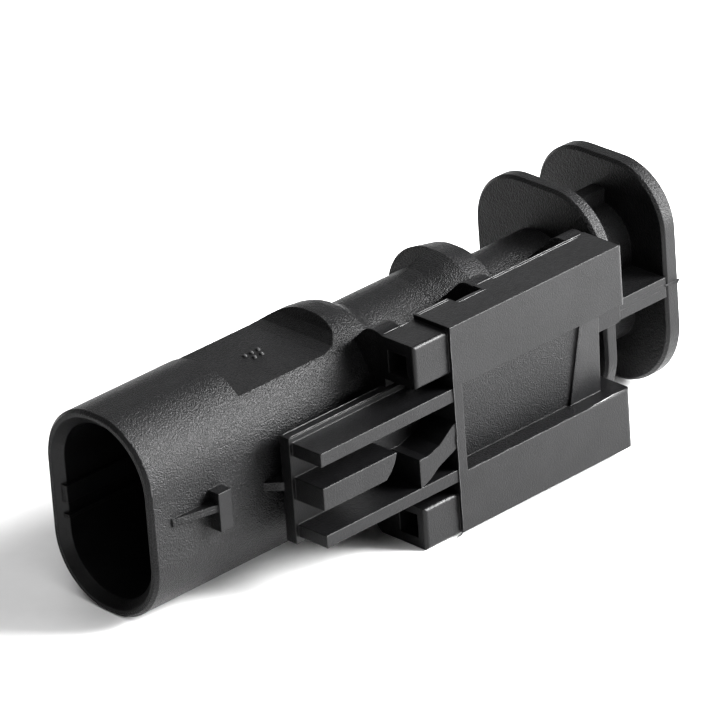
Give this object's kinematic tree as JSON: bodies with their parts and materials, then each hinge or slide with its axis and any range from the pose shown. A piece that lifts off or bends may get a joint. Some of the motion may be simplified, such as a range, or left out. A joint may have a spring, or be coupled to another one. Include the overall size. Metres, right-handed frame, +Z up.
{
  "type": "sealed automotive connector",
  "caption": "Blade half of a sealed in-line automotive connector with an oval mating shroud, round wire neck, rear flanges and a side clip rail.",
  "frame": {"origin": "centre of the mating mouth, on the mating axis", "axes": "+X from the mating mouth back to the wire entry, +Z up, clip rail on the -Y side"},
  "size_m": [0.0679, 0.022, 0.0237],
  "materials": {
    "housing_plastic": "black glass-filled polyamide, fine spark-eroded grain",
    "lock_plastic": "black polyester, plain moulded",
    "contact_metal": "tin-plated brass, dull bright",
    "seal_rubber": "blue silicone, satin"
  },
  "bodies": {
    "connector": {"housing": "housing_plastic", "upper_blade_contact": "contact_metal", "lower_blade_contact": "contact_metal", "upper_wire_seal": "seal_rubber", "lower_wire_seal": "seal_rubber"},
    "secondary_lock": {"secondary_lock": "lock_plastic"}
  },
  "joints": [
    {"name": "lock_slide", "type": "slide", "parent": "connector", "child": "secondary_lock", "axis": [-1, 0, 0], "range_m": [0, 0.002]}
  ]
}
